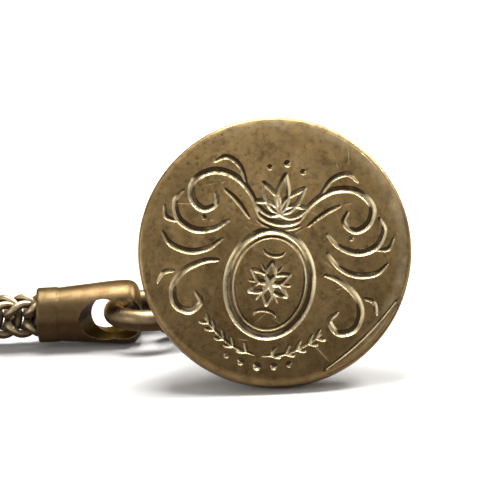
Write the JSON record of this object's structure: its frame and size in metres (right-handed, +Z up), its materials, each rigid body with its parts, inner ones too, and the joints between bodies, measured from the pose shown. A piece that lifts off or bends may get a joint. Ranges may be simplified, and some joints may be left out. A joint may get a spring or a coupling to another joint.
{
  "type": "pocket watch fob",
  "caption": "Brass watch fob: a round engraved desk seal on a loop, an oval link, ring and end cap, a loop-in-loop chain and a swivel clasp.",
  "frame": {"origin": "bottom centre of the whole fob's box, on the surface that it lies on", "axes": "+X along the chain towards the seal, +Y from the seal's face to its handle, +Z up"},
  "size_m": [0.0976, 0.027, 0.0221],
  "materials": {
    "seal_face": "satin",
    "cast_brass": "satin",
    "ring_brass": "satin",
    "cap_brass": "satin",
    "pin_brass": "satin",
    "clasp_brass": "satin",
    "chain_brass": "satin",
    "spring_steel": "satin"
  },
  "bodies": {
    "seal": {"seal_matrix": "seal_face", "seal_collet": "cast_brass", "seal_handle": "cast_brass"},
    "oval_link": {"oval_link": "ring_brass"},
    "seal_ring": {"seal_ring": "ring_brass"},
    "seal_cap": {"seal_end_cap": "cap_brass", "seal_cap_pin": "pin_brass", "chain_link_01": "chain_brass"},
    "link_02": {"chain_link_02": "chain_brass"},
    "link_03": {"chain_link_03": "chain_brass"},
    "link_04": {"chain_link_04": "chain_brass"},
    "link_05": {"chain_link_05": "chain_brass"},
    "link_06": {"chain_link_06": "chain_brass"},
    "link_07": {"chain_link_07": "chain_brass"},
    "link_08": {"chain_link_08": "chain_brass"},
    "link_09": {"chain_link_09": "chain_brass"},
    "link_10": {"chain_link_10": "chain_brass"},
    "link_11": {"chain_link_11": "chain_brass"},
    "link_12": {"chain_link_12": "chain_brass"},
    "link_13": {"chain_link_13": "chain_brass"},
    "watch_cap": {"watch_end_cap": "cap_brass", "watch_cap_pin": "pin_brass", "chain_link_14": "chain_brass"},
    "clasp_ring": {"clasp_ring": "ring_brass"},
    "swivel": {"swivel_eye": "clasp_brass"},
    "hook": {"hook_body": "clasp_brass", "gate_pin": "pin_brass", "gate_spring": "spring_steel"},
    "gate": {"hook_gate": "clasp_brass"}
  },
  "joints": [
    {"name": "oval_swing", "type": "hinge", "parent": "seal", "child": "oval_link", "pos_m": [0.03677, 0.00982, 0.00237], "axis": [0, 0.4555, 0.8902], "range_deg": [-20, 20]},
    {"name": "ring_swing", "type": "hinge", "parent": "oval_link", "child": "seal_ring", "pos_m": [0.0288, 0.00406, 0.00295], "axis": [0, 1, 0], "range_deg": [-20, 20]},
    {"name": "cap_swing", "type": "hinge", "parent": "seal_ring", "child": "seal_cap", "pos_m": [0.0218, 0.00406, 0.00295], "axis": [0, 1, 0], "range_deg": [-30, 30]},
    {"name": "chain_flex_01", "type": "hinge", "parent": "seal_cap", "child": "link_02", "pos_m": [0.01375, 0.00406, 0.00295], "axis": [0, 1, 0], "range_deg": [-6, 6]},
    {"name": "chain_flex_02", "type": "hinge", "parent": "link_02", "child": "link_03", "pos_m": [0.01196, 0.00406, 0.00295], "axis": [0, 0, 1], "range_deg": [-6, 6]},
    {"name": "chain_flex_03", "type": "hinge", "parent": "link_03", "child": "link_04", "pos_m": [0.01017, 0.00406, 0.00295], "axis": [0, 1, 0], "range_deg": [-6, 6]},
    {"name": "chain_flex_04", "type": "hinge", "parent": "link_04", "child": "link_05", "pos_m": [0.00838, 0.00406, 0.00295], "axis": [0, 0, 1], "range_deg": [-6, 6]},
    {"name": "chain_flex_05", "type": "hinge", "parent": "link_05", "child": "link_06", "pos_m": [0.00659, 0.00406, 0.00295], "axis": [0, 1, 0], "range_deg": [-6, 6]},
    {"name": "chain_flex_06", "type": "hinge", "parent": "link_06", "child": "link_07", "pos_m": [0.0048, 0.00406, 0.00295], "axis": [0, 0, 1], "range_deg": [-6, 6]},
    {"name": "chain_flex_07", "type": "hinge", "parent": "link_07", "child": "link_08", "pos_m": [0.00301, 0.00406, 0.00295], "axis": [0, 1, 0], "range_deg": [-6, 6]},
    {"name": "chain_flex_08", "type": "hinge", "parent": "link_08", "child": "link_09", "pos_m": [0.00122, 0.00406, 0.00295], "axis": [0, 0, 1], "range_deg": [-6, 6]},
    {"name": "chain_flex_09", "type": "hinge", "parent": "link_09", "child": "link_10", "pos_m": [-0.00057, 0.00406, 0.00295], "axis": [0, 1, 0], "range_deg": [-6, 6]},
    {"name": "chain_flex_10", "type": "hinge", "parent": "link_10", "child": "link_11", "pos_m": [-0.00236, 0.00406, 0.00295], "axis": [0, 0, 1], "range_deg": [-6, 6]},
    {"name": "chain_flex_11", "type": "hinge", "parent": "link_11", "child": "link_12", "pos_m": [-0.00415, 0.00406, 0.00295], "axis": [0, 1, 0], "range_deg": [-6, 6]},
    {"name": "chain_flex_12", "type": "hinge", "parent": "link_12", "child": "link_13", "pos_m": [-0.00594, 0.00406, 0.00295], "axis": [0, 0, 1], "range_deg": [-6, 6]},
    {"name": "chain_flex_13", "type": "hinge", "parent": "link_13", "child": "watch_cap", "pos_m": [-0.00773, 0.00406, 0.00295], "axis": [0, 1, 0], "range_deg": [-6, 6]},
    {"name": "clasp_ring_swing", "type": "hinge", "parent": "watch_cap", "child": "clasp_ring", "pos_m": [-0.01612, 0.00406, 0.00295], "axis": [0, 1, 0], "range_deg": [-30, 30]},
    {"name": "swivel_swing", "type": "hinge", "parent": "clasp_ring", "child": "swivel", "pos_m": [-0.02312, 0.00406, 0.00295], "axis": [0, 1, 0], "range_deg": [-35, 35]},
    {"name": "hook_turn", "type": "hinge", "parent": "swivel", "child": "hook", "pos_m": [-0.02617, 0.00406, 0.00295], "axis": [1, 0, 0], "continuous": true},
    {"name": "gate_open", "type": "hinge", "parent": "hook", "child": "gate", "pos_m": [-0.03497, 0.00826, 0.00295], "axis": [0, 0, 1], "range_deg": [0, 28], "stiffness_Nm_per_rad": 0.002, "springref_deg": -11.46}
  ]
}
